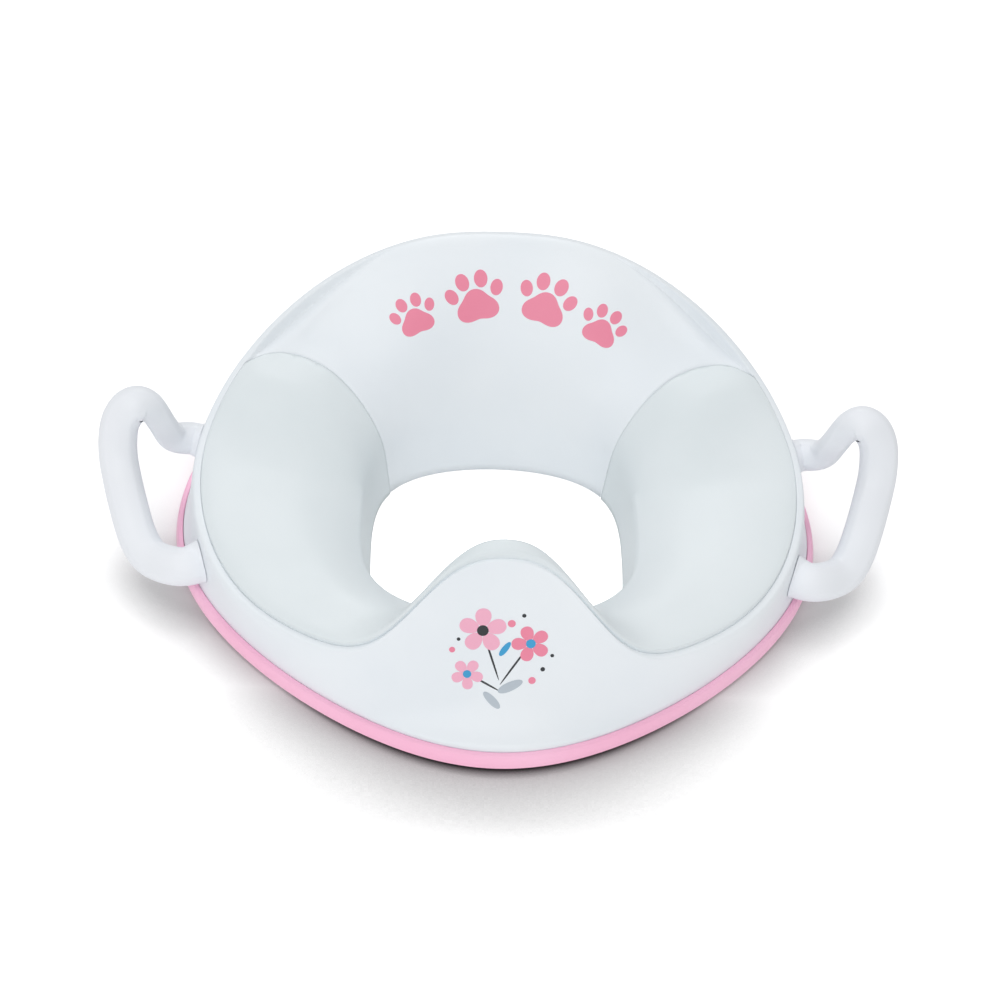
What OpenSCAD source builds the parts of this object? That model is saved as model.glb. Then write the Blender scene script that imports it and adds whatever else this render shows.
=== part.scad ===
// Potty training seat: a moulded ring seat for a toddler, with a splash guard at the front, a high
// back, a separate smooth seat pan, a carrying handle on each side and a soft ring round its base.
// X runs from side to side, Y from the splash guard to the back, and Z up from the base ring's underside.
// An angle on the seat is counted from the front, 0, round to the back, 180, and is negative on the left.

/* [Base ring] */
// Width across the base ring
base_w = 300; // [290:1:312]
// Widest line of the base ring to its front
base_front = 139.5; // [136:1:150]
// Widest line of the base ring to its rear
base_rear = 139.5; // [134:1:155]
// How far the base narrows towards the front, where 0 is a plain ellipse
base_taper = 0.24; // [0.1:0.01:0.26]
// Height of the ring's outer bead
bead_h = 8.5; // [7:0.1:10]
// Thickness of the bead outside the shell's skirt
bead_t = 3.4; // [2.6:0.1:4.4]
// Height of the ring's lip inside the skirt
lip_h = 6; // [4.5:0.1:7]
// Thickness of the lip inside the skirt
lip_t = 2.2; // [1.6:0.1:3]
// Thickness of the ring under the skirt
sole_t = 2.4; // [1.8:0.1:3]

/* [Outer shell] */
// Wall thickness of the shell
wall_t = 2.4; // [2:0.1:2.8]
// Height of the shell's upright skirt above the bead
skirt_reveal = 1.2; // [0.6:0.1:2.5]
// Distance from the base ring's widest line in to the side of the rim
rim_inset = 13.5; // [10:0.5:17]
// Widest line to the rim's front, below the splash guard
rim_front = 113; // [108:0.5:117]
// Widest line to the top of the back
rim_rear = 104; // [98:0.5:112]
// Height of the rim at the sides
side_h = 42; // [39:0.5:46]
// Height of the rim in the two hollows beside the splash guard
hollow_h = 34; // [30:0.5:36]
// Height of the back
back_h = 100; // [90:0.5:110]
// Height of the splash guard's wall, below its roll
guard_h = 82; // [72:0.5:88]
// Distance the splash guard leans towards the seat
guard_lean = 23; // [18:0.5:26]

/* [Seat pan] */
// Wall thickness of the seat pan
pan_t = 2.8; // [2.2:0.1:3.2]
// Half the width of the opening at its lower edge
hole_half = 58.5; // [54:0.5:63]
// Middle of the opening to the widest line
hole_back = 14; // [10:0.5:18]
// Middle of the opening to its front edge
hole_front = 59; // [52:0.5:61]
// Middle of the opening to its rear edge
hole_rear = 56; // [50:0.5:58]
// Height of the opening's lower edge
hole_z = 4; // [3:0.1:8]
// Height of the edge where the opening's wall starts
edge_h = 30; // [26:0.5:33]
// Highest level of the side bolsters
bolster_h = 62; // [56:0.5:66]
// Depth of the pan's lip in the shell's recess
pan_lip = 3; // [2:0.1:4]

/* [Handles] */
// Thickness of the grip and the front arm
grip_d = 18; // [16:0.5:19.5]
// Thickness of the rear arm
arm_d = 15.5; // [13:0.5:16.5]
// Thickness of the rear arm where it drops from the grip
neck_d = 13; // [11:0.5:14]
// Flatness of the grip's section, where 1 is round
grip_flat = 0.84; // [0.7:0.02:1]
// Distance from the side of the rim out to the grip's middle line
grip_out = 37; // [34:0.5:43]
// Height of the grip's highest point, at its middle
grip_top = 66.5; // [63:0.5:75]
// Diameter of the peg that goes through the shell's wall
peg_d = 9; // [7:0.5:10]
// Length of a peg inside the wall's outer face
peg_l = 9; // [8:0.5:12]

/* [Screws] */
// Diameter of a screw's shank
screw_d = 3.5; // [3:0.1:4]
// Diameter of a screw's head
head_d = 8; // [7:0.1:9]
// Height of a screw's head
head_h = 2.2; // [1.6:0.1:2.8]
// Diameter of the pan's screw posts
post_d = 9; // [8:0.5:11]
// Height of the ears that hold the pan's posts
ear_z = 17; // [14:0.5:19]

/* [Fits] */
// Clearance between two pieces that seat on each other
seat_gap = 0.2; // [0.2:0.05:0.4]
// Width of the seam between the pan and the back, as an angle
seam_gap = 0.1; // [0.1:0.05:0.4]
// Clearance between the pan's underside and the shell's ledge
ledge_gap = 1.2; // [1:0.1:1.5]
// Clearance between a screw's shank and the plastic it cuts into
thread_gap = 0.1; // [0.05:0.05:0.2]
// Clearance round a peg or a screw in a plain hole
hole_gap = 0.3; // [0.2:0.05:0.5]

/* [Hidden] */

shell_white = "#e6ebf2";
pan_white = "#dde8e8";
trim_pink = "#f3a6c4";
handle_white = "#e3e5ee";
steel = "#b9bdc2";

// Half the width between the two sides of the rim
rim_half = base_w / 2 - rim_inset;
// Angles where the splash guard and the back begin and end
guard_spread = 16;
guard_power = 2.7;
hollow_end = 42;
side_start = 92;
back_start = 85;
back_end = 172;
seam_rim = 119;
seam_hole = 133;
// Where the two arms of a handle meet the wall: an angle on the seat and a share of the wall's height
front_arm = [70.5, 0.63];
rear_arm = [102.2, 0.83];
// Where the pan's screw posts stand: an angle on the seat and a share of its section
posts = [[50, 0.34], [94, 0.34]];
// Angles of the ribs behind the back
rib_angles = [146, 163, 180];
// Depth of the flat face of a collar inside the wall's outer face, and a screw's flange on it
collar_in = peg_l + 0.5;
collar_t = 3.5;
flange_t = 1.2;
screw_l = 12;
ear_t = 3;
ear_w = 12;
ear_rib_h = 4;
ear_rib_t = 2;
// Shares of the way from the rim to the opening's lower edge where the roll and the open slope end
share_roll = 0.2;
share_edge = 0.86;
// Draft of the opening's wall in the pan and in the back, from its upper to its lower edge
draft = 4.5;
back_draft = 2;
// Height of the back's lower edge, where the opening's wall starts
back_edge_h = 22;
// Width and drop of the round edge along the top of the back
back_round = [7, 2.4];
// Width of the pan's rolled edge at the sides, what the hollows and the seam add and the guard takes off
roll_side_w = 6.2;
roll_hollow_w = 5;
roll_seam_w = 7;
roll_guard_w = 5.4;
// Rise of the pan's rolled edge at the sides, and what the hollows and the guard add
roll_side_rise = 1.6;
roll_hollow_rise = 2.4;
roll_guard_rise = 1.2;
// Steepness of the pan where it meets the opening's wall, beside the seat, at the seam and behind the guard
steep_side = 38;
steep_seam = 72;
steep_guard = 80;
// Reach of the curve's handles: at the roll behind the guard, and above the opening's edge
guard_pull = 2.5;
edge_pull = 20;
edge_pull_guard = 26;
back_pull = [-5, 22];
// Share of the back's mean slope that its front face starts with
back_slope = 0.72;
// Weights of the wall's curve, from its foot to its top: how soon it turns inwards, and how soon it rises
wall_turn = [0, 0.4, 0.6, 1];
wall_rise = [0, 0.05, 0.42, 1];
// Width and drop of the shell's rounded band outside the crease, at the sides
band_side_w = 4.4;
band_side_drop = 2.8;
// Angle where the section has passed from the pan's form to the back's
blend_end = 162;

function step01(x) = let (u = min(max(x, 0), 1)) u * u * (3 - 2 * u);
function ramp(x, from, to) = step01((x - from) / (to - from));
function mix(a, b, share) = a + (b - a) * share;
function unit(v) = v / norm(v);
function fold(t) = t > 180 ? t - 360 : t;
function bez2(u, a, b, c) = (1 - u) * (1 - u) * a + 2 * u * (1 - u) * b + u * u * c;
function bez3(u, a, b, c, d) =
    pow(1 - u, 3) * a + 3 * u * pow(1 - u, 2) * b + 3 * u * u * (1 - u) * c + pow(u, 3) * d;

// An egg-shaped outline, seen from above
function egg(t, half, front, rear, taper_front, taper_rear) =
    let (c = cos(t), reach = c > 0 ? front : rear, taper = c > 0 ? taper_front : taper_rear)
    [half * sin(t) * (1 - taper * c * c), -reach * c];

// Shares of the splash guard, of the hollows beside it and of the back at an angle
function guard_share(t) = exp(-pow(abs(t) / guard_spread, guard_power));
function hollow_share(t) = 1 - ramp(abs(t), hollow_end, side_start);
function back_share(t) = ramp(abs(t), back_start, back_end);

// Base outline, moved inwards by a distance
function base_point(t) = egg(t, base_w / 2, base_front, base_rear, base_taper, 0);
function base_in(t, inset) =
    let (d = base_point(t + 0.5) - base_point(t - 0.5), n = unit([-d.y, d.x])) base_point(t) + n * inset;

// Crease line along the rim, where the pan or the back's front face starts
function rim_height(t) =
    side_h - (side_h - hollow_h) * hollow_share(t) + (guard_h - hollow_h) * guard_share(t)
    + (back_h - side_h) * back_share(t);
function rim_plan(t) =
    egg(t, rim_half, rim_front, rim_rear, -0.16, 0) + [0, guard_lean * guard_share(t)];
function hole_plan(t) = [0, -hole_back] + egg(t, hole_half, hole_front, hole_rear, -0.48, -0.37);
// Direction from the opening out to the rim, and the distance between the two
function spoke(t) = unit(rim_plan(t) - hole_plan(t));
function spoke_l(t) = norm(rim_plan(t) - hole_plan(t));
// A point of the section at an angle, given inwards from the rim and up from it
function at_rim(t, p) = let (q = rim_plan(t) - spoke(t) * p.x) [q.x, q.y, rim_height(t) + p.y];

// Width and rise of the rolled edge along the pan
function roll_w(t) =
    roll_side_w + roll_hollow_w * hollow_share(t) - roll_guard_w * guard_share(t)
    + roll_seam_w * ramp(abs(t), seam_rim - 6, seam_hole);
function bolster(t) =
    let (
        top = rim_height(t) + roll_side_rise + roll_hollow_rise * hollow_share(t)
            + roll_guard_rise * guard_share(t)
    )
    abs(t) < side_start ? top : min(top, bolster_h);
function roll_h(t) = bolster(t) - rim_height(t);
function roll_bulge(t) = 0.3 + 1.7 * hollow_share(t);

// Section through the pan from the crease down to the opening, at a depth below its surface
function pan_section(t, s, depth) =
    let (
        w = roll_w(t),
        h = roll_h(t) - depth,
        run = spoke_l(t),
        low = edge_h - rim_height(t),
        edge_in = run - draft,
        open_steep = mix(steep_side, steep_seam, ramp(abs(t), back_start + 3, seam_rim)),
        steep = mix(open_steep, steep_guard, guard_share(t)),
        start = [depth, min(0, h - 0.1)],
        flat_mid = [0.6 * w + 0.4 * depth, 0.35 * roll_h(t) - depth],
        mid = mix([depth - roll_bulge(t), h], flat_mid, ramp(abs(t), 100, seam_rim)),
        top = [w, h],
        left = edge_in - w,
        bend_a = top + [0.42 * left + guard_pull * guard_share(t), 0],
        edge = [edge_in, low] + [-sin(steep), -cos(steep)] * depth,
        bend_b = edge + [-cos(steep), sin(steep)] * mix(edge_pull, edge_pull_guard, guard_share(t)),
        foot = [run - depth, hole_z - rim_height(t)]
    )
    s < share_roll ? bez2(s / share_roll, start, mid, top)
    : s < share_edge ? bez3((s - share_roll) / (share_edge - share_roll), top, bend_a, bend_b, edge)
    : mix(edge, foot, (s - share_edge) / (1 - share_edge));

// Section through the back, from the top of the rim down to the opening
function back_section(t, s, depth) =
    let (
        run = spoke_l(t),
        start = [0, -depth],
        mid = [back_round.x / 2, -depth],
        slope = atan2(back_slope * (rim_height(t) - 2 * back_edge_h), run - 12),
        dir = [cos(slope), -sin(slope)],
        down = [-sin(slope), -cos(slope)] * depth,
        top = [back_round.x, -back_round.y] + down,
        bend_a = top + dir * 0.5 * run,
        edge = [run - back_draft - depth, back_edge_h - rim_height(t)],
        bend_b = edge + back_pull,
        foot = [run - depth, hole_z - rim_height(t)]
    )
    s < share_roll ? bez2(s / share_roll, start, mid, top)
    : s < share_edge ? bez3((s - share_roll) / (share_edge - share_roll), top, bend_a, bend_b, edge)
    : mix(edge, foot, (s - share_edge) / (1 - share_edge));

// Angle of the seam between pan and back at a share of the section
function seam(s) = seam_hole - (seam_hole - seam_rim) * pow(1 - s, 5.5);
// Seat surface at an angle and a share, at a depth below it
function seat(t, s, depth) =
    let (
        a = fold(t),
        from = seam(s),
        u = min(max((abs(a) - from) / (blend_end - from), 0), 1),
        p = mix(pan_section(a, s, depth), back_section(a, s, depth), sin(90 * u))
    )
    at_rim(a, p);

// The two triangles between points a, a2 of one section and b, b2 of the next, split the same way on
// the seat's left and right sides
function pair(a, a2, b, b2, right) = right ? [[a, a2, b], [a2, b2, b]] : [[a, b2, b], [a, a2, b2]];

// Closed solid from rings of points, each ring running the same way round
module ring_solid(rings) {
    n = len(rings);
    m = len(rings[0]);
    polyhedron(
        points = [for (ring = rings) for (p = ring) p],
        faces = [for (i = [0:n - 1]) for (j = [0:m - 1])
            let (i2 = (i + 1) % n, j2 = (j + 1) % m)
            each pair(i * m + j, i * m + j2, i2 * m + j, i2 * m + j2, rings[i][0].x + rings[i2][0].x > 0)]
    );
}

// Solid along a line from sections of points, closed at each end by a fan round a middle point
module tube_solid(sections, start, end) {
    n = len(sections);
    m = len(sections[0]);
    polyhedron(
        points = concat([for (section = sections) for (p = section) p], [start, end]),
        faces = [
            for (i = [0:n - 2]) for (j = [0:m - 1])
                let (j2 = (j + 1) % m, a = i * m, b = a + m)
                each pair(a + j, a + j2, b + j, b + j2, false),
            for (j = [0:m - 1]) let (j2 = (j + 1) % m, last = (n - 1) * m)
                each [[n * m, j2, j], [n * m + 1, last + j, last + j2]]
        ]
    );
}

// Open-ended run of sections, closed by a cap at each end, where a section is two rows of equal length
module run_solid(sections) {
    n = len(sections);
    m = len(sections[0]);
    half = m / 2;
    function cap(i, flip) = [for (j = [0:half - 2])
        let (a = i * m + j, b = a + 1, c = i * m + m - 1 - j, d = c - 1)
        each flip ? [[a, b, d], [a, d, c]] : [[a, d, b], [a, c, d]]];
    polyhedron(
        points = [for (section = sections) for (p = section) p],
        faces = [
            for (i = [0:n - 2]) for (j = [0:m - 1])
                let (j2 = (j + 1) % m, a = i * m, b = a + m)
                each pair(a + j, a + j2, b + j, b + j2, sections[i][0].x + sections[i + 1][0].x > 0),
            each cap(0, false),
            each cap(n - 1, true)
        ]
    );
}

// Outer wall of the shell
skirt_top = bead_h + skirt_reveal;
skirt_foot = sole_t + seat_gap;
function band_w(t) = band_side_w + back_share(t) - 2.6 * guard_share(t);
function band_drop(t) = band_side_drop + 2.8 * back_share(t) - 1.2 * guard_share(t);
function wall_top(t) = let (q = rim_plan(t) + spoke(t) * band_w(t)) [q.x, q.y, rim_height(t) - band_drop(t)];
function wall_outer(t, u, depth) =
    let (
        low = base_in(t, bead_t + seat_gap + depth),
        q = wall_top(t) - [spoke(t).x, spoke(t).y, 0] * depth,
        w = bez3(u, wall_turn[0], wall_turn[1], wall_turn[2], wall_turn[3]),
        h = bez3(u, wall_rise[0], wall_rise[1], wall_rise[2], wall_rise[3]),
        z0 = skirt_top - depth * 0.6
    )
    [mix(low.x, q.x, w), mix(low.y, q.y, w), mix(z0, q.z, h)];

// Outward direction of the wall, and a frame on it with its z axis pointing outwards
function wall_out(a) =
    unit(cross(wall_outer(a[0], a[1] + 0.02, 0) - wall_outer(a[0], a[1] - 0.02, 0),
        wall_outer(a[0] + 0.5, a[1], 0) - wall_outer(a[0] - 0.5, a[1], 0)) * -1);
module on_wall(a) {
    n = wall_out(a);
    translate(wall_outer(a[0], a[1], 0)) rotate([0, acos(n.z), atan2(n.y, n.x)]) children();
}
module both_sides() {
    children();
    mirror([1, 0, 0]) children();
}
// Each ear runs from its post outwards into the wall
module at_ears() {
    both_sides() for (a = posts)
        let (
            q = seat(a[0], a[1], 0),
            w = wall_outer(a[0], 0.5, 0.75 * wall_t),
            d = [w.x - q.x, w.y - q.y],
            $reach = norm(d)
        )
        translate([q.x, q.y, 0]) rotate([0, 0, atan2(d.y, d.x)]) children();
}
module at_posts() {
    both_sides() for (a = posts)
        let (q = seat(a[0], a[1], 0), $top = q.z - 0.6 * pan_t)
        translate([q.x, q.y, 0]) children();
}

// Steps along the horseshoe of the pan, which the shell's ledge under it shares, and down its section
seat_turns = 64;
pan_shares = [0, 0.05, 0.1, 0.2, 0.3, 0.4, 0.5, 0.6, 0.7, 0.78, 0.86, 0.93, 1];
module seat_pan() {
    function pan_row(v, depth) = concat(
        [let (t = v * (seam(0) - seam_gap)) at_rim(t, [depth, -pan_lip])],
        [for (s = pan_shares) seat(v * (seam(s) - seam_gap), s, depth)]
    );
    function reversed(row) = [for (i = [len(row) - 1:-1:0]) row[i]];
    color(pan_white)
        difference() {
            union() {
                run_solid([for (i = [0:seat_turns]) let (v = 2 * i / seat_turns - 1)
                    concat(pan_row(v, 0), reversed(pan_row(v, pan_t)))]);
                at_posts() translate([0, 0, ear_z + seat_gap])
                    cylinder(d = post_d, h = $top - ear_z - seat_gap, $fn = 40);
            }
            at_posts() translate([0, 0, ear_z - 1])
                cylinder(d = screw_d + 2 * thread_gap, h = screw_l - 1, $fn = 32);
        }
}

// Stiffening rib between the back's front face and the wall behind it
module rib(t) {
    steps = 5;
    half_angle = 0.5;
    sink = wall_t - 0.6;
    run_solid([for (a = [t - half_angle, t + half_angle]) concat(
        [for (k = [0:steps]) wall_outer(fold(a), mix(0.4, 0.95, k / steps), sink)],
        [for (k = [steps:-1:0]) seat(a, mix(0.62, 0.06, k / steps), sink)]
    )]);
}

module outer_shell() {
    back_turns = 24;
    wall_shares = [for (i = [1:5]) i / 5];
    inner_shares = [0.92, 0.66, 0.33, 0.12];
    rows = [0.1, 0.2, 0.3, 0.4, 0.5, 0.6, 0.7, 0.78, 0.86, 1];
    edge_rows = [0.02, 0.05];
    corner_turn = seam(0.04) / seam(0) - 1;
    skirt_in = bead_t + seat_gap;
    ledge = pan_t + ledge_gap;
    back_span = 360 - 2 * seam(0);
    tongue = 2 / seat_turns;
    function reversed(list) = [for (i = [len(list) - 1:-1:0]) list[i]];
    // Section of the shell from the skirt's foot up the wall and back down inside. In front it has the recess
    // for the pan and a ledge, which is narrow or, just before the seam, as wide as the pan.
    function floor_z(t) = min(-pan_lip - seat_gap, roll_h(t) - ledge);
    function section(t0, reach, seat_angles, edge_angles, top_depth, under_depth, front) =
        let (
            t = fold(t0),
            foot = base_in(t, skirt_in),
            foot_in = base_in(t, skirt_in + wall_t),
            corner = t * (1 + corner_turn * ramp(abs(t), seam_rim - 20, seam_rim))
        )
        concat(
            [[foot.x, foot.y, skirt_foot], [foot.x, foot.y, skirt_top]],
            [for (u = wall_shares) wall_outer(t, u, 0)],
            [at_rim(t, [-band_w(t) * cos(40), band_drop(t) * (sin(40) - 1)]), at_rim(t, [-seat_gap, 0])],
            front ? [at_rim(t, [-seat_gap, floor_z(t)]), at_rim(corner, [ledge, floor_z(corner)])]
                : [for (k = [0, 1]) seat(edge_angles[k], edge_rows[k], 0)],
            [for (k = [0:len(rows) - 1]) seat(seat_angles[k], reach * rows[k], top_depth)],
            reversed([for (k = [0:len(rows) - 1]) seat(seat_angles[k], reach * rows[k], under_depth)]),
            [front ? at_rim(corner, [ledge + wall_t, floor_z(corner) - wall_t])
                : seat(edge_angles[1], edge_rows[1], under_depth)],
            [for (u = inner_shares) wall_outer(t, u, wall_t)],
            [[foot_in.x, foot_in.y, skirt_top - 0.6 * wall_t], [foot_in.x, foot_in.y, skirt_foot]]
        );
    function front_section(v, wide) =
        let (reach = wide ? 1 : share_roll)
        section(v * seam(0), reach, [for (s = rows) v * seam(reach * s)], [], ledge, ledge + wall_t, true);
    function back_section_at(v) =
        let (
            angles = [for (s = concat(edge_rows, rows)) seam(s) + v * (360 - 2 * seam(s))],
            n = len(edge_rows),
            under_depth = mix(ledge + wall_t, wall_t, ramp(min(v, 1 - v) * back_span, 1, 9))
        )
        section(seam(0) + v * back_span, 1, [for (k = [n:len(angles) - 1]) angles[k]], angles,
            0, under_depth, false);
    color(shell_white)
        difference() {
            union() {
                ring_solid(concat(
                    [for (v = [-1, -1 + tongue]) front_section(v, true)],
                    [front_section(-1 + tongue + 0.001, false)],
                    [for (i = [2:seat_turns - 2]) front_section(2 * i / seat_turns - 1, false)],
                    [front_section(1 - tongue - 0.001, false)],
                    [for (v = [1 - tongue, 1]) front_section(v, true)],
                    [for (i = [0:back_turns]) back_section_at((i + 0.01) / (back_turns + 0.02))]
                ));
                both_sides() for (a = [front_arm, rear_arm])
                    on_wall(a) translate([0, 0, -collar_in])
                        cylinder(d = peg_d + 2 * collar_t, h = collar_in - 0.5 * wall_t, $fn = 40);
                both_sides() for (t = rib_angles) rib(t);
                at_ears() {
                    translate([0, 0, ear_z - ear_t]) cylinder(d = post_d + 4, h = ear_t, $fn = 40);
                    translate([0, -ear_w / 2, ear_z - ear_t]) cube([$reach, ear_w, ear_t]);
                    translate([post_d, -ear_rib_t / 2, ear_z - ear_t - ear_rib_h])
                        cube([$reach - post_d, ear_rib_t, ear_rib_h + 1]);
                }
            }
            both_sides() for (a = [front_arm, rear_arm])
                on_wall(a) translate([0, 0, -collar_in - 1])
                    cylinder(d = peg_d + 2 * hole_gap, h = collar_in + 3, $fn = 40);
            at_posts() translate([0, 0, ear_z - 10]) cylinder(d = screw_d + 2 * hole_gap, h = 12, $fn = 32);
        }
}

module base_trim() {
    turns = 72;
    groove_in = bead_t + 2 * seat_gap + wall_t;
    total = groove_in + lip_t;
    edge_r = 1.2;
    profile = [
        [edge_r, 0], [0.2, edge_r], [0, bead_h - 3], [edge_r, bead_h - 0.2], [bead_t, bead_h],
        [bead_t, sole_t], [groove_in, sole_t], [groove_in, lip_h], [total, lip_h], [total, 0]
    ];
    color(trim_pink)
        ring_solid([for (i = [0:turns - 1]) let (t = 360 * i / turns)
            [for (p = profile) let (q = base_in(t, p.x)) [q.x, q.y, p.y]]]);
}

// Centre line of the right handle, from the front arm over the grip to the rear arm
function knots() =
    let (
        f = wall_outer(front_arm[0], front_arm[1], 0) + wall_out(front_arm) * seat_gap,
        r = wall_outer(rear_arm[0], rear_arm[1], 0) + wall_out(rear_arm) * seat_gap,
        x = rim_half + grip_out
    )
    [
        f - wall_out(front_arm) * 8, f, f + wall_out(front_arm) * 9,
        [x - 17, -36.5, 18.6], [x - 10, -28, 22.2], [x - 5, -16.5, 29.8], [x - 0.6, -3, 38],
        [x + 1.4, 5, 46.5], [x + 0.4, 11, grip_top - 8.5], [x - 4.5, 14, grip_top - 1],
        [x - 10.5, 15, grip_top],
        [x - 15, 16, grip_top - 5.5], [x - 18.5, 17.5, grip_top - 15.5], [x - 22, 21.5, grip_top - 26.5],
        r + wall_out(rear_arm) * 5, r, r - wall_out(rear_arm) * 5
    ];
function spline(k, u) =
    let (a = k[0], b = k[1], c = k[2], d = k[3])
    0.5 * (2 * b + (c - a) * u + (2 * a - 5 * b + 4 * c - d) * u * u + (3 * b - a - 3 * c + d) * u * u * u);
// Point above the wall's outer face at a small offset along it from the middle of an arm
function above_wall(a, offset) =
    let (
        across = wall_outer(a[0] + 0.5, a[1], 0) - wall_outer(a[0] - 0.5, a[1], 0),
        up = (wall_outer(a[0], a[1] + 0.02, 0) - wall_outer(a[0], a[1] - 0.02, 0)) / 0.04,
        n = wall_out(a),
        whole = cross(across, up) * n
    )
    wall_outer(a[0] + cross(offset, up) * n / whole, a[1] + cross(across, offset) * n / whole, 0)
    + n * seat_gap;
module handle() {
    k = knots();
    spans = len(k) - 3;
    per_span = 3;
    points = 14;
    squareness = 2.7;
    flare = 1.8;
    broad_side = unit([0, -1, 1]);
    function middle(w) =
        let (i = min(floor(w), spans - 1))
        spline([k[i], k[i + 1], k[i + 2], k[i + 3]], w - i);
    function along(w) =
        w < 0.01 ? wall_out(front_arm)
        : w > spans - 0.01 ? wall_out(rear_arm) * -1
        : unit(middle(w + 0.01) - middle(w - 0.01));
    // Offsets from the centre line to the points of the rounded section, wider where an arm meets the wall
    function offsets(w) =
        let (
            d = along(w),
            b = unit(cross(d, broad_side)),
            n = cross(b, d),
            own = mix(mix(grip_d, neck_d, ramp(w, 8, 10.5)), arm_d, ramp(w, 11, spans - 1)),
            wide = own + flare * (exp(-4 * w) + exp(-4 * (spans - w))),
            deep = wide * grip_flat
        )
        [for (j = [0:points - 1]) let (
                a = 360 * j / points,
                p = pow(pow(abs(cos(a)), squareness) + pow(abs(sin(a)), squareness), -1 / squareness)
            )
            b * (wide / 2 * p * cos(a)) + n * (deep / 2 * p * sin(a))];
    color(handle_white)
        difference() {
            union() {
                tube_solid(concat(
                    [[for (v = offsets(0)) above_wall(front_arm, v)]],
                    [for (i = [1:spans * per_span - 1])
                        let (w = i / per_span) [for (v = offsets(w)) middle(w) + v]],
                    [[for (v = offsets(spans)) above_wall(rear_arm, v)]]
                ), above_wall(front_arm, [0, 0, 0]), above_wall(rear_arm, [0, 0, 0]));
                for (a = [front_arm, rear_arm])
                    on_wall(a) translate([0, 0, -peg_l]) cylinder(d = peg_d, h = peg_l + 2, $fn = 40);
            }
            for (a = [front_arm, rear_arm])
                on_wall(a) translate([0, 0, -peg_l - 1])
                    cylinder(d = screw_d + 2 * thread_gap, h = screw_l + 2, $fn = 32);
        }
}
module handle_right() {
    handle();
}
module handle_left() {
    mirror([1, 0, 0]) handle();
}

// Pan-head screw along z with a flange, which seats at z = 0, and its shank upwards
module screw(flange) {
    seat_z = -flange_t;
    slot = [4, 0.8, 2.3];
    difference() {
        union() {
            translate([0, 0, seat_z]) cylinder(d = flange, h = flange_t, $fn = 40);
            translate([0, 0, seat_z - head_h]) cylinder(d1 = head_d - 2, d2 = head_d, h = head_h, $fn = 32);
            translate([0, 0, -0.5]) cylinder(d = screw_d, h = screw_l + 0.5, $fn = 32);
        }
        for (a = [0, 90]) rotate([0, 0, a])
            translate([-slot.x / 2, -slot.y / 2, seat_z - head_h - 1]) cube(slot);
    }
}
module pan_screws() {
    color(steel) at_posts() translate([0, 0, ear_z - ear_t - thread_gap]) screw(head_d + 1);
}
module handle_screws() {
    color(steel)
        both_sides() for (a = [front_arm, rear_arm])
            on_wall(a) translate([0, 0, -collar_in - thread_gap]) screw(peg_d + 5);
}

outer_shell();
seat_pan();
base_trim();
handle_left();
handle_right();
pan_screws();
handle_screws();
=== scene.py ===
"""Looks of the potty training seat: smooth mouldings, printed paws and flowers, finishes and studio."""
import logging
import math
from dataclasses import dataclass
from enum import Enum

import bmesh
import bpy
from mathutils import Matrix, Vector
from mathutils.bvhtree import BVHTree


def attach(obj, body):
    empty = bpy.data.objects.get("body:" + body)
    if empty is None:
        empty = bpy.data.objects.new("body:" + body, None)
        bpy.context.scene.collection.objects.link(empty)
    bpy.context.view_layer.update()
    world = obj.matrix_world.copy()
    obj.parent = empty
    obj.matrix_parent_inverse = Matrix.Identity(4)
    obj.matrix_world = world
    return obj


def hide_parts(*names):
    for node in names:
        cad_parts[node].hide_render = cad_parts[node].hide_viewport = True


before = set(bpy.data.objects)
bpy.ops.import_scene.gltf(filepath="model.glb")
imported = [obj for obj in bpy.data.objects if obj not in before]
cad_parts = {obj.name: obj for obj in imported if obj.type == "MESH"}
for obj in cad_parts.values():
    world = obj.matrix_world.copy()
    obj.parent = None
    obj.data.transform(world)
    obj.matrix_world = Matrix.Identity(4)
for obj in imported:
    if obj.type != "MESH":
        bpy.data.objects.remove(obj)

LOG = logging.getLogger("potty_seat")
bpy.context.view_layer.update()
MM = 0.001
#: Nodes that keep their CAD form and only take a finish
SCREWS = ("pan_screws", "handle_screws")


def linear(code: str) -> tuple[float, float, float, float]:
    """Turn a hex colour into the linear colour that shaders take, by the sRGB curve.

    Args:
        code: Colour as a hash and six hex digits.

    Returns:
        Red, green, blue and an alpha of 1.
    """
    parts = [int(code[i : i + 2], 16) / 255 for i in (1, 3, 5)]
    return (*[p / 12.92 if p <= 0.04045 else ((p + 0.055) / 1.055) ** 2.4 for p in parts], 1.0)


class Side(Enum):
    """The seat's two sides, as the sign of X."""

    LEFT = -1
    RIGHT = 1


class Motif(Enum):
    """The shapes printed on the front of the splash guard."""

    PETALS = "petals"
    MIDDLE = "middle"
    LEAF = "leaf"
    STEM = "stem"
    DOT = "dot"


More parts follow.
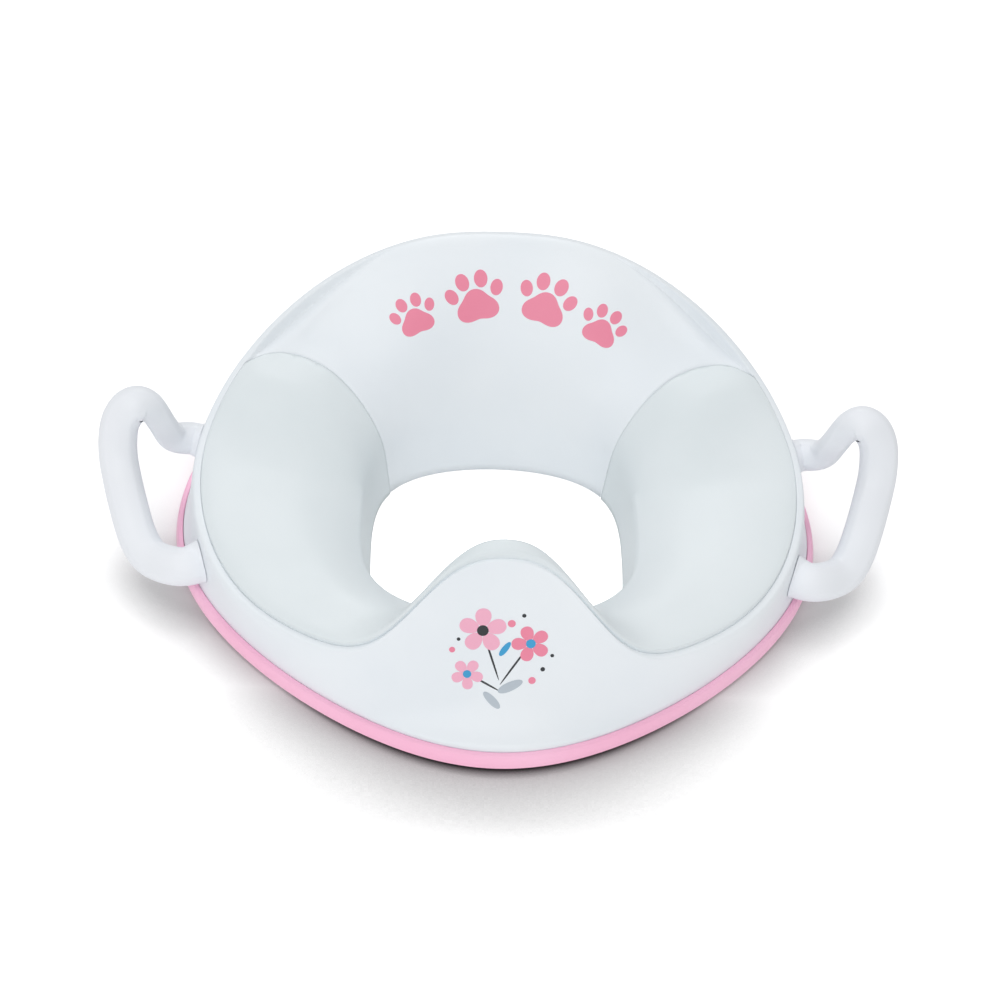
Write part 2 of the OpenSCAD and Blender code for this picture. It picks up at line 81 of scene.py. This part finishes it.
class Sockets:
    """Adds and links shader nodes in one node tree."""

    def __init__(self, tree: bpy.types.NodeTree) -> None:
        """Keep the tree that the nodes go into."""
        self.tree = tree

    def add(self, kind: str, **values: object) -> bpy.types.Node:
        """Add a node and set its properties.

        Args:
            kind: Blender's name of the node type.
            **values: Properties of the node, by name.

        Returns:
            The new node.
        """
        node = self.tree.nodes.new(kind)
        for name, value in values.items():
            setattr(node, name, value)
        return node

    def link(self, start: bpy.types.NodeSocket, end: bpy.types.NodeSocket) -> None:
        """Link one socket to another."""
        self.tree.links.new(start, end)

    def feed(self, value: bpy.types.NodeSocket | float, end: bpy.types.NodeSocket) -> None:
        """Link a socket to an input, or set the input to a number.

        Args:
            value: Socket or number.
            end: Input that takes it.
        """
        if isinstance(value, bpy.types.NodeSocket):
            self.link(value, end)
        else:
            end.default_value = value

    def noise(
        self, vector: bpy.types.NodeSocket, scale: bpy.types.NodeSocket | float, detail: float,
    ) -> bpy.types.NodeSocket:
        """Add a noise pattern.

        Args:
            vector: Socket with the coordinates.
            scale: Repeats of the pattern in a metre, as a number or a socket.
            detail: Octaves of finer noise.

        Returns:
            The socket with the pattern's value.
        """
        node = self.add("ShaderNodeTexNoise")
        node.inputs["Detail"].default_value = detail
        self.feed(scale, node.inputs["Scale"])
        self.link(vector, node.inputs["Vector"])
        return node.outputs["Fac"]

    def reckon(self, operation: str, *values: bpy.types.NodeSocket | float) -> bpy.types.NodeSocket:
        """Add a step of arithmetic on numbers or sockets.

        Args:
            operation: Blender's name of the step.
            *values: What it works on, in order.

        Returns:
            The socket with the result.
        """
        node = self.add("ShaderNodeMath", operation=operation)
        for value, end in zip(values, node.inputs):
            self.feed(value, end)
        return node.outputs[0]

    def spread(
        self, value: bpy.types.NodeSocket, span: tuple[float, float], low: bpy.types.NodeSocket | float,
        high: bpy.types.NodeSocket | float,
    ) -> bpy.types.NodeSocket:
        """Map a value's span onto a range.

        Args:
            value: Socket with the value.
            span: Values that become the two ends of the range.
            low: Start of the range, as a number or a socket.
            high: End of the range, as a number or a socket.

        Returns:
            The socket with the mapped value.
        """
        node = self.add("ShaderNodeMapRange")
        node.inputs["From Min"].default_value, node.inputs["From Max"].default_value = span
        self.feed(low, node.inputs["To Min"])
        self.feed(high, node.inputs["To Max"])
        self.link(value, node.inputs["Value"])
        return node.outputs["Result"]


class SkinGroup:
    """Shader group for a moulded skin: a faint cloudy tone, fine texture and a gloss that varies."""

    NAME = "moulded_skin"
    #: Inputs that take a number, each with its first value
    NUMBERS = (("Cloud Scale", 14.0), ("Grain Scale", 900.0), ("Gloss", 0.2), ("Dull", 0.35))
    #: Octaves of the cloudy tone, and the values of its noise that become the dark and the light tone
    CLOUD_DETAIL = 4.0
    CLOUD_SPAN = (0.35, 0.65)
    #: Repeats in a metre and octaves of the gloss pattern, and its values that become glossy and dull
    GLOSS_SCALE = 55.0
    GLOSS_DETAIL = 5.0
    GLOSS_SPAN = (0.4, 0.75)
    #: Octaves of the fine grain
    GRAIN_DETAIL = 2.0
    #: Repeats in a metre and octaves of the slow ripple, and its height as a multiple of the grain's
    RIPPLE_SCALE = 38.0
    RIPPLE_DETAIL = 1.0
    RIPPLE_SHARE = 6.0

    @classmethod
    def tree(cls) -> bpy.types.NodeTree:
        """Give the group's tree, and build it the first time.

        Returns:
            The shader group.
        """
        made = bpy.data.node_groups.get(cls.NAME)
        if made is not None:
            return made
        tree = bpy.data.node_groups.new(cls.NAME, "ShaderNodeTree")
        face = tree.interface
        face.new_socket("Light Tone", in_out="INPUT", socket_type="NodeSocketColor")
        face.new_socket("Dark Tone", in_out="INPUT", socket_type="NodeSocketColor")
        for name, value in cls.NUMBERS:
            face.new_socket(name, in_out="INPUT", socket_type="NodeSocketFloat").default_value = value
        face.new_socket("Color", in_out="OUTPUT", socket_type="NodeSocketColor")
        face.new_socket("Roughness", in_out="OUTPUT", socket_type="NodeSocketFloat")
        face.new_socket("Height", in_out="OUTPUT", socket_type="NodeSocketFloat")
        net = Sockets(tree)
        given, out = net.add("NodeGroupInput"), net.add("NodeGroupOutput")
        place = net.add("ShaderNodeTexCoord").outputs["Object"]
        cloud = net.noise(place, given.outputs["Cloud Scale"], cls.CLOUD_DETAIL)
        tone = net.add("ShaderNodeMix", data_type="RGBA")
        net.link(net.spread(cloud, cls.CLOUD_SPAN, 0.0, 1.0), tone.inputs["Factor"])
        net.link(given.outputs["Dark Tone"], tone.inputs[6])
        net.link(given.outputs["Light Tone"], tone.inputs[7])
        net.link(tone.outputs[2], out.inputs["Color"])
        rubbed = net.noise(place, cls.GLOSS_SCALE, cls.GLOSS_DETAIL)
        rough = net.spread(rubbed, cls.GLOSS_SPAN, given.outputs["Gloss"], given.outputs["Dull"])
        net.link(rough, out.inputs["Roughness"])
        grain = net.noise(place, given.outputs["Grain Scale"], cls.GRAIN_DETAIL)
        ripple = net.noise(place, cls.RIPPLE_SCALE, cls.RIPPLE_DETAIL)
        net.link(net.reckon("MULTIPLY_ADD", ripple, cls.RIPPLE_SHARE, grain), out.inputs["Height"])
        return tree


@dataclass(frozen=True)
class Finish:
    """A moulded or printed finish, with its two tones and its gloss."""

    name: str
    light_tone: str
    dark_tone: str
    #: Roughness of its glossy and of its dull patches
    gloss: float
    dull: float
    #: Repeats of the grain in a metre, and its depth in metres
    grain_scale: float = 900.0
    grain_depth: float = 0.00002
    #: Repeats of the cloudy tone in a metre
    cloud_scale: float = 14.0
    bump_strength: float = 0.6
    coat: float = 0.0
    coat_roughness: float = 0.12
    metallic: float = 0.0
    sheen: float = 0.0

    def material(self) -> bpy.types.Material:
        """Give the finish's material, and build it the first time.

        Returns:
            The material.
        """
        made = bpy.data.materials.get(self.name)
        if made is not None:
            return made
        material = bpy.data.materials.new(self.name)
        material.use_nodes = True
        tree = material.node_tree
        net = Sockets(tree)
        shader = tree.nodes["Principled BSDF"]
        skin = net.add("ShaderNodeGroup", node_tree=SkinGroup.tree())
        settings = (
            ("Light Tone", linear(self.light_tone)),
            ("Dark Tone", linear(self.dark_tone)),
            ("Cloud Scale", self.cloud_scale),
            ("Grain Scale", self.grain_scale),
            ("Gloss", self.gloss),
            ("Dull", self.dull),
        )
        for name, value in settings:
            skin.inputs[name].default_value = value
        bump = net.add("ShaderNodeBump")
        bump.inputs["Distance"].default_value = self.grain_depth
        bump.inputs["Strength"].default_value = self.bump_strength
        net.link(skin.outputs["Height"], bump.inputs["Height"])
        net.link(bump.outputs["Normal"], shader.inputs["Normal"])
        net.link(skin.outputs["Color"], shader.inputs["Base Color"])
        net.link(skin.outputs["Roughness"], shader.inputs["Roughness"])
        shader.inputs["Metallic"].default_value = self.metallic
        shader.inputs["Coat Weight"].default_value = self.coat
        shader.inputs["Coat Roughness"].default_value = self.coat_roughness
        shader.inputs["Sheen Weight"].default_value = self.sheen
        return material


SHELL_WHITE = Finish("shell_white", "#edf2f6", "#e8eef3", 0.42, 0.52, coat=0.06)
PAN_WHITE = Finish("pan_white", "#e2e9ec", "#dde5e8", 0.42, 0.52, coat=0.06)
HANDLE_WHITE = Finish("handle_white", "#edf0f5", "#e8ecf1", 0.42, 0.52, grain_depth=0.00004)
TRIM_PINK = Finish(
    "trim_pink", "#ffc5e0", "#fcbcd9", 0.45, 0.58, grain_scale=1400.0, grain_depth=0.00005, sheen=0.1
)
STEEL = Finish("screw_steel", "#c2c5c9", "#a9adb2", 0.25, 0.4, grain_scale=2500.0, metallic=1.0)
INK_ROSE = Finish("ink_rose", "#ef8ca6", "#ec849f", 0.42, 0.52)
INK_BLUSH = Finish("ink_blush", "#f4b7ce", "#f1aec6", 0.42, 0.52)
INK_SKY = Finish("ink_sky", "#3fa6d8", "#379bce", 0.42, 0.52)
INK_GREY = Finish("ink_grey", "#bac4cd", "#b1bbc5", 0.42, 0.52)
INK_DARK = Finish("ink_dark", "#34373c", "#2c2f33", 0.42, 0.52)


def as_object(name: str, mesh: bmesh.types.BMesh, material: bpy.types.Material) -> bpy.types.Object:
    """Turn a bmesh into an object with one material and smooth faces.

    Args:
        name: Name of the new object.
        mesh: Mesh to use. It is freed.
        material: Material of the whole object.

    Returns:
        The new object, linked to the scene.
    """
    data = bpy.data.meshes.new(name)
    for face in mesh.faces:
        face.smooth = True
    mesh.to_mesh(data)
    mesh.free()
    piece = bpy.data.objects.new(name, data)
    bpy.context.scene.collection.objects.link(piece)
    data.materials.append(material)
    return piece


@dataclass
class Moulding:
    """A CAD node's moulded form, made smooth between its real edges."""

    node: str
    slot: str
    finish: Finish
    #: Angle, in degrees, past which an edge is a real one, and how sharp subdivision keeps it
    edge_angle: float = 34.0
    crease: float = 0.98
    #: Levels of subdivision
    levels: int = 2
    #: Distance, in metres, under which two points become one
    weld: float = 0.00001
    #: Bend and skew, in degrees, up to which two triangles become one face
    join_bend: float = 30.0
    join_skew: float = 120.0
    #: Distance that the surface is moved out by, in metres, so that a seam closes to a thin line
    swell: float = 0.0

    def build(self) -> bpy.types.Object:
        """Copy the node, join its triangles and round it by subdivision.

        Returns:
            The smooth piece, which stands for the node.
        """
        mesh = bmesh.new()
        mesh.from_mesh(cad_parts[self.node].data)
        bmesh.ops.remove_doubles(mesh, verts=mesh.verts, dist=self.weld)
        bmesh.ops.dissolve_degenerate(mesh, edges=mesh.edges, dist=self.weld)
        bmesh.ops.join_triangles(
            mesh, faces=mesh.faces, angle_face_threshold=math.radians(self.join_bend),
            angle_shape_threshold=math.radians(self.join_skew),
        )
        layer = mesh.edges.layers.float.new("crease_edge")
        limit = math.radians(self.edge_angle)
        for edge in mesh.edges:
            if len(edge.link_faces) != 2 or edge.calc_face_angle(0.0) > limit:
                edge[layer] = self.crease
        piece = as_object(f"{self.node}_smooth", mesh, self.finish.material())
        if self.swell:
            fuller = piece.modifiers.new("fuller", "DISPLACE")
            fuller.strength, fuller.mid_level = self.swell, 0.0
        rounder = piece.modifiers.new("rounding", "SUBSURF")
        rounder.levels = rounder.render_levels = self.levels
        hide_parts(self.node)
        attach(piece, "root")
        return piece


@dataclass
class Surface:
    """The finished surface of a piece, to lay prints on."""

    piece: bpy.types.Object
    #: Distance above a print, in metres, from which its points are dropped
    drop: float = 0.02

    def __post_init__(self) -> None:
        """Read the piece's surface with its modifiers."""
        graph = bpy.context.evaluated_depsgraph_get()
        self.tree = BVHTree.FromObject(self.piece, graph)

    def frame_at(self, start: Vector, way: Vector) -> Matrix:
        """Find the point that a ray meets and the surface's directions there.

        Args:
            start: Start of the ray.
            way: Direction of the ray.

        Returns:
            A matrix whose X runs to the side, Y up the surface and Z out of it.
        """
        point, normal, _, _ = self.tree.ray_cast(start, way)
        side = Vector((0, 0, 1)).cross(normal).normalized()
        up = normal.cross(side)
        place = Matrix((side, up, normal)).transposed().to_4x4()
        place.translation = point
        return place

    def lay(self, mesh: bmesh.types.BMesh, normal: Vector, lift: float) -> None:
        """Lay a flat mesh down on the surface.

        Args:
            mesh: Mesh near the surface.
            normal: Direction that the mesh is dropped against.
            lift: Distance that it stays above the surface, in metres.
        """
        for vert in mesh.verts:
            point, there, _, _ = self.tree.ray_cast(vert.co + normal * self.drop, -normal)
            if point is not None:
                vert.co = point + there * lift


@dataclass
class Print:
    """Flat ink shapes laid on a surface, as one piece."""

    name: str
    surface: Surface
    finish: Finish
    slot: str
    #: Height over the surface and thickness of the ink, in metres
    lift: float = 0.00005
    thickness: float = 0.00004
    #: Angle, in degrees, past which an edge of the ink is sharp
    edge_angle: float = 40.0
    #: Rings of points between a shape's middle and its edge
    rings: int = 3

    def __post_init__(self) -> None:
        """Start with no shape."""
        self.mesh = bmesh.new()

    def blob(
        self, place: Matrix, centre: tuple[float, float], size: tuple[float, float], turn: float = 0.0,
        lobes: tuple[float, ...] = (), steps: int = 48,
    ) -> None:
        """Add a round shape, whose edge may swell and shrink round it.

        Args:
            place: Frame on the surface, as from Surface.frame_at.
            centre: Middle of the shape in that frame, in millimetres.
            size: Half width and half height, in millimetres.
            turn: Turn of the shape, in degrees.
            lobes: Share that the edge moves out by for each count of waves round it, starting at 1.
            steps: Points round the edge.
        """
        shape = bmesh.new()
        # The circle has a radius of 1, and only its spokes touch the middle
        bmesh.ops.create_circle(shape, cap_ends=True, cap_tris=True, segments=steps, radius=1.0)
        spokes = [edge for edge in shape.edges if min(vert.co.length for vert in edge.verts) < 0.5]
        bmesh.ops.subdivide_edges(shape, edges=spokes, cuts=self.rings)
        for vert in shape.verts:
            angle = math.atan2(vert.co.y, vert.co.x) - math.pi / 2
            swell = 1.0 + sum(share * math.cos((k + 1) * angle) for k, share in enumerate(lobes))
            vert.co = Vector((vert.co.x * size[0], vert.co.y * size[1], 0.0)) * swell * MM
        moved = Matrix.Translation((centre[0] * MM, centre[1] * MM, 0.0))
        turned = moved @ Matrix.Rotation(math.radians(turn), 4, "Z")
        bmesh.ops.transform(shape, matrix=place @ turned, verts=shape.verts)
        self.surface.lay(shape, place.col[2].to_3d(), self.lift)
        data = bpy.data.meshes.new("blob")
        shape.to_mesh(data)
        shape.free()
        self.mesh.from_mesh(data)
        bpy.data.meshes.remove(data)

    def done(self) -> bpy.types.Object:
        """Give the ink its thickness and make it a piece.

        Returns:
            The printed piece.
        """
        bmesh.ops.solidify(self.mesh, geom=self.mesh.faces[:], thickness=self.thickness)
        bmesh.ops.recalc_face_normals(self.mesh, faces=self.mesh.faces)
        for edge in self.mesh.edges:
            edge.smooth = edge.calc_face_angle(0.0) < math.radians(self.edge_angle)
        piece = as_object(self.name, self.mesh, self.finish.material())
        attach(piece, "root")
        return piece


@dataclass
class PawTrail:
    """Four paw prints in an arc across the back."""

    surface: Surface
    #: Side place, distance up the slope, tilt and size of each paw: millimetres, degrees and a share
    paws: tuple[tuple[float, float, float, float], ...] = (
        (-39.6, 100.2, 22.0, 0.80),
        (-11.4, 108.4, 12.0, 1.0),
        (19.4, 107.8, -14.0, 1.0),
        (46.0, 97.6, -24.0, 0.80),
    )
    #: Swell of a pad's edge: narrow at the top, with a slightly hollow bottom
    pad_lobes: tuple[float, ...] = (0.03, -0.02, 0.15, 0.0, 0.03)
    #: Height of a pad's middle, and its half width and half height, in millimetres
    pad_rise: float = 0.4
    pad_size: tuple[float, float] = (9.5, 7.3)
    #: Toes of one side: side place, height, half width and half height in millimetres, and lean in degrees
    toes: tuple[tuple[float, float, float, float, float], ...] = (
        (4.5, 13.2, 3.2, 4.2, -8.0),
        (10.9, 7.6, 2.9, 3.9, -24.0),
    )
    #: Directions up the back's slope and into it, and how far off the ink is aimed from, in metres
    slope_up: tuple[int, int, int] = (0, 1, 1)
    slope_in: tuple[int, int, int] = (0, 1, -1)
    aim_from: float = 0.3

    def build(self) -> bpy.types.Object:
        """Print each paw as a pad and its toes.

        Returns:
            The printed piece.
        """
        ink = Print("paw_prints", self.surface, INK_ROSE, "trim")
        wide, high = self.pad_size
        up = Vector(self.slope_up).normalized()
        inward = Vector(self.slope_in).normalized()
        for across, slope, tilt, size in self.paws:
            aim = Vector((across * MM, 0, 0)) + up * slope * MM
            place = self.surface.frame_at(aim - inward * self.aim_from, inward)
            place = place @ Matrix.Rotation(math.radians(tilt), 4, "Z")
            pad_at = (0.0, self.pad_rise * size)
            ink.blob(place, pad_at, (wide * size, high * size), lobes=self.pad_lobes, steps=60)
            for side in Side:
                for x, y, toe_wide, toe_high, lean in self.toes:
                    toe_at = (x * side.value * size, y * size)
                    ink.blob(place, toe_at, (toe_wide * size, toe_high * size), lean * side.value)
        return ink.done()


@dataclass
class FlowerSpray:
    """A spray of small flowers, stems, leaves and dots printed on the splash guard's front."""

    surface: Surface
    #: Motif, ink, side place, height, size and turn, in millimetres and degrees
    layout: tuple[tuple[Motif, Finish, float, float, float, float], ...] = (
        (Motif.STEM, INK_DARK, -4.6, 2.0, 11.5, 19.0),
        (Motif.STEM, INK_DARK, 5.6, -1.6, 11.0, -33.0),
        (Motif.STEM, INK_DARK, -7.2, -10.0, 7.6, 62.0),
        (Motif.PETALS, INK_BLUSH, -8.6, 14.0, 10.4, 0.0),
        (Motif.MIDDLE, INK_DARK, -8.6, 14.0, 2.5, 0.0),
        (Motif.PETALS, INK_ROSE, 12.2, 8.4, 8.4, 20.0),
        (Motif.MIDDLE, INK_SKY, 12.2, 8.4, 2.1, 0.0),
        (Motif.PETALS, INK_BLUSH, -14.6, -6.4, 7.0, 40.0),
        (Motif.MIDDLE, INK_SKY, -14.6, -6.4, 1.8, 0.0),
        (Motif.LEAF, INK_GREY, 4.6, -11.2, 6.6, -64.0),
        (Motif.LEAF, INK_GREY, -4.0, -17.4, 5.6, 46.0),
        (Motif.LEAF, INK_SKY, 1.4, 6.0, 4.4, -34.0),
        (Motif.DOT, INK_ROSE, 3.6, 17.6, 1.7, 0.0),
        (Motif.DOT, INK_DARK, 8.8, 21.4, 0.9, 0.0),
        (Motif.DOT, INK_ROSE, -21.4, 4.6, 1.3, 0.0),
        (Motif.DOT, INK_DARK, -18.8, 9.6, 0.8, 0.0),
        (Motif.DOT, INK_DARK, 17.8, -3.4, 1.0, 0.0),
        (Motif.DOT, INK_ROSE, 13.4, -8.6, 1.6, 0.0),
        (Motif.DOT, INK_DARK, 21.6, 3.0, 0.8, 0.0),
    )
    #: Side place and height of the spray's middle, in millimetres, and where it is aimed from, in metres
    middle: tuple[float, float] = (0.0, 38.5)
    aim_from: float = -0.3
    #: Layers from the shell outwards, each with its height over the shell in metres
    layers: tuple[tuple[str, float], ...] = (("stems", 0.00002), ("spray", 0.00007), ("middles", 0.00012))
    #: Count of petals, then their distance from the middle and their half width and half height, as shares
    petal_count: int = 5
    petal_reach: float = 0.6
    petal_size: tuple[float, float] = (0.33, 0.41)
    petal_lobes: tuple[float, ...] = (0.0, 0.0, -0.04)
    #: Half width and half height of a leaf, as shares of its size
    leaf_size: tuple[float, float] = (0.34, 0.8)
    leaf_lobes: tuple[float, ...] = (-0.1, 0.1)
    #: Half width of a stem, in millimetres
    stem_half: float = 0.45

    def petals(
        self, ink: Print, place: Matrix, centre: tuple[float, float], size: float, turn: float,
    ) -> None:
        """Print the petals of a flower.

        Args:
            ink: Print that takes them.
            place: Frame on the surface.
            centre: Middle of the flower, in millimetres.
            size: Half width of the flower, in millimetres.
            turn: Turn of the flower, in degrees.
        """
        reach = size * self.petal_reach
        wide, high = self.petal_size
        for k in range(self.petal_count):
            lean = turn + 360 / self.petal_count * k
            across = math.sin(math.radians(lean)) * reach
            along = math.cos(math.radians(lean)) * reach
            petal_at = (centre[0] - across, centre[1] + along)
            ink.blob(place, petal_at, (size * wide, size * high), lean, lobes=self.petal_lobes, steps=32)

    def build(self) -> list[bpy.types.Object]:
        """Print every motif, with one piece for each ink and each layer.

        Returns:
            The printed pieces.
        """
        aim = Vector((self.middle[0] * MM, self.aim_from, self.middle[1] * MM))
        place = self.surface.frame_at(aim, Vector((0, 1, 0)))
        wide, high = self.leaf_size
        prints: dict[str, Print] = {}
        for motif, finish, x, y, size, turn in self.layout:
            layer, lift = self.layers[{Motif.STEM: 0, Motif.MIDDLE: 2}.get(motif, 1)]
            name = f"{layer}_{finish.name}"
            if name not in prints:
                prints[name] = Print(name, self.surface, finish, "trim", lift)
            ink = prints[name]
            if motif is Motif.PETALS:
                self.petals(ink, place, (x, y), size, turn)
            elif motif is Motif.LEAF:
                ink.blob(place, (x, y), (size * wide, size * high), turn, lobes=self.leaf_lobes, steps=36)
            elif motif is Motif.STEM:
                ink.blob(place, (x, y), (self.stem_half, size), turn, steps=32)
            else:
                ink.blob(place, (x, y), (size, size), steps=28)
        return [ink.done() for ink in prints.values()]


@dataclass
class Studio:
    """Floor, lamps, world and camera."""

    #: The camera's place and clip range in metres, its directions, and its lens in millimetres
    eye: tuple[float, float, float] = (-0.04248, -0.79911, 0.82611)
    right: tuple[float, float, float] = (0.99892, -0.0084, 0.04563)
    up: tuple[float, float, float] = (-0.02628, 0.70809, 0.70563)
    back: tuple[float, float, float] = (-0.03824, -0.70607, 0.70711)
    lens: float = 87.77
    sensor: float = 36.0
    clip: tuple[float, float] = (0.05, 20.0)
    #: Half length of the floor's sides, and its height, just under the seat, in metres
    floor_half: float = 4.0
    floor_z: float = -0.0002
    floor_roughness: float = 0.9
    #: Light that the floor adds for the camera alone
    floor_glow: float = 0.4
    #: Reach of the shade round the seat, in metres, and its darkest tone
    shade_reach: float = 0.092
    shade_depth: float = 0.3
    #: Shares of open sky over the floor between which the shade runs from its darkest tone to none
    shade_open: tuple[float, float] = (0.45, 0.98)
    shade_samples: int = 16
    #: Places on Y between which the shade deepens towards the front, and the power that it deepens by
    shade_front: tuple[float, float] = (-0.165, -0.095)
    shade_power: float = 4.6
    #: Places on Y between which the shade pales towards the rear, and the power left there
    shade_rear: tuple[float, float] = (-0.06, 0.0)
    shade_left: float = 0.35
    #: Half width and half length of the floor inside the base, which painted light lifts to white through
    #: the opening, over the seat's shadow there
    inside: tuple[float, float] = (0.13, 0.12)
    #: Shares of that half width and half length between which the painted light fades out
    inside_fade: tuple[float, float] = (0.85, 0.95)
    #: Name of each lamp, its place and the length of its sides in metres, and its power in watts
    lamps: tuple[tuple[str, tuple[float, float, float], float, float], ...] = (
        ("key", (-0.1, 1.45, 2.1), 1.1, 14.0),
        ("front", (-0.5, -1.8, 2.0), 2.0, 26.0),
    )
    #: Point that the lamps are aimed at, in metres
    lamp_aim: tuple[float, float, float] = (0.0, 0.0, 0.04)
    sky: float = 0.57

    def painted_light_inside(self, net: Sockets, place: bpy.types.NodeSocket) -> bpy.types.NodeSocket:
        """Mark the floor inside the base, as an oval that fades at its edge, where painted light lifts the
        floor to white over the seat's shadow.

        Args:
            net: Node tree of the floor's material.
            place: Socket with the floor's coordinates.

        Returns:
            A socket with 1 inside the oval and 0 outside.
        """
        squeeze = net.add("ShaderNodeVectorMath", operation="MULTIPLY")
        squeeze.inputs[1].default_value = (1 / self.inside[0], 1 / self.inside[1], 0.0)
        net.link(place, squeeze.inputs[0])
        away = net.add("ShaderNodeVectorMath", operation="LENGTH")
        net.link(squeeze.outputs["Vector"], away.inputs[0])
        return net.spread(away.outputs["Value"], self.inside_fade, 1.0, 0.0)

    def shade(self, net: Sockets, place: bpy.types.NodeSocket) -> bpy.types.NodeSocket:
        """Shade the floor round the seat, more in front and less behind.

        Args:
            net: Node tree of the floor's material.
            place: Socket with the floor's coordinates.

        Returns:
            A socket with the floor's tone.
        """
        near = net.add("ShaderNodeAmbientOcclusion", samples=self.shade_samples)
        near.inputs["Distance"].default_value = self.shade_reach
        split = net.add("ShaderNodeSeparateXYZ")
        net.link(place, split.inputs[0])
        depth = split.outputs["Y"]
        rear = net.spread(depth, self.shade_rear, 1.0, self.shade_left)
        power = net.spread(depth, self.shade_front, self.shade_power, rear)
        tone = net.spread(near.outputs["AO"], self.shade_open, self.shade_depth, 1.0)
        return net.reckon("POWER", tone, power)

    def floor_material(self) -> bpy.types.Material:
        """Make the floor's white: shaded and lit up for the camera, and plain for every other ray.

        Returns:
            The material.
        """
        material = bpy.data.materials.new("floor_white")
        material.use_nodes = True
        net = Sockets(material.node_tree)
        nodes = material.node_tree.nodes
        shader = nodes["Principled BSDF"]
        shader.inputs["Roughness"].default_value = self.floor_roughness
        shader.inputs["Specular IOR Level"].default_value = 0.0
        place = net.add("ShaderNodeTexCoord").outputs["Object"]
        # Painted light: inside the base the floor's tone is raised to white and its glow to full, over the
        # seat's shadow there
        painted_light = self.painted_light_inside(net, place)
        seen = net.add("ShaderNodeLightPath").outputs["Is Camera Ray"]
        tone = net.spread(seen, (0.0, 1.0), 1.0, net.reckon("MAXIMUM", self.shade(net, place), painted_light))
        pale = net.add("ShaderNodeCombineColor")
        for channel in ("Red", "Green", "Blue"):
            net.link(tone, pale.inputs[channel])
        net.link(pale.outputs["Color"], shader.inputs["Base Color"])
        glow = net.add("ShaderNodeEmission")
        net.link(pale.outputs["Color"], glow.inputs["Color"])
        strength = net.spread(painted_light, (0.0, 1.0), self.floor_glow, 1.0)
        net.link(net.reckon("MULTIPLY", seen, strength), glow.inputs["Strength"])
        total = net.add("ShaderNodeAddShader")
        net.link(shader.outputs["BSDF"], total.inputs[0])
        net.link(glow.outputs["Emission"], total.inputs[1])
        net.link(total.outputs["Shader"], nodes["Material Output"].inputs["Surface"])
        return material

    def floor(self) -> None:
        """Lay the pale floor, which the camera sees as white with the object's soft shadow."""
        mesh = bmesh.new()
        bmesh.ops.create_grid(mesh, x_segments=1, y_segments=1, size=self.floor_half)
        floor = as_object("floor", mesh, self.floor_material())
        floor.location.z = self.floor_z

    def lamp(self, name: str, place: tuple[float, float, float], size: float, power: float) -> None:
        """Hang a square soft lamp that points at the seat.

        Args:
            name: Name of the lamp.
            place: Where it hangs, in metres.
            size: Length of its sides, in metres.
            power: Power in watts.
        """
        data = bpy.data.lights.new(name, "AREA")
        data.shape, data.size, data.energy = "SQUARE", size, power
        lamp = bpy.data.objects.new(name, data)
        bpy.context.scene.collection.objects.link(lamp)
        lamp.location = place
        lamp.rotation_euler = (Vector(self.lamp_aim) - Vector(place)).to_track_quat("-Z", "Y").to_euler()

    def world(self) -> None:
        """Light the scene evenly all round."""
        world = bpy.data.worlds.new("studio")
        world.use_nodes = True
        sky = world.node_tree.nodes["Background"]
        sky.inputs["Color"].default_value = (1.0, 1.0, 1.0, 1.0)
        sky.inputs["Strength"].default_value = self.sky
        bpy.context.scene.world = world

    def camera(self) -> None:
        """Set the camera at the photograph's angle."""
        data = bpy.data.cameras.new("camera")
        data.lens, data.sensor_width, data.sensor_fit = self.lens, self.sensor, "HORIZONTAL"
        data.clip_start, data.clip_end = self.clip
        camera = bpy.data.objects.new("camera", data)
        bpy.context.scene.collection.objects.link(camera)
        turn = Matrix((self.right, self.up, self.back)).transposed()
        camera.rotation_mode = "QUATERNION"
        camera.rotation_quaternion = turn.to_quaternion()
        camera.location = self.eye
        bpy.context.scene.camera = camera

    def build(self) -> None:
        """Set up the whole studio."""
        self.floor()
        for name, place, size, power in self.lamps:
            self.lamp(name, place, size, power)
        self.world()
        self.camera()
        bpy.context.scene.view_settings.view_transform = "Standard"


def main() -> None:
    """Build the dressed seat, piece by piece."""
    logging.basicConfig(level=logging.INFO, format="%(message)s")
    mouldings = (
        Moulding("outer_shell", "shell", SHELL_WHITE),
        Moulding("seat_pan", "pan", PAN_WHITE, swell=0.00022),
        Moulding("base_trim", "trim", TRIM_PINK, edge_angle=50.0),
        Moulding("handle_left", "handle", HANDLE_WHITE),
        Moulding("handle_right", "handle", HANDLE_WHITE),
    )
    pieces = {m.node: m.build() for m in mouldings}
    for name, piece in pieces.items():
        LOG.info("%s: %d faces before rounding", name, len(piece.data.polygons))
    for name in SCREWS:
        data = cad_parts[name].data
        data.materials.clear()
        data.materials.append(STEEL.material())
    shell = Surface(pieces["outer_shell"])
    for piece in [PawTrail(shell).build(), *FlowerSpray(shell).build()]:
        LOG.info("%s: %d faces", piece.name, len(piece.data.polygons))
    Studio().build()


if __name__ == "__main__":
    main()
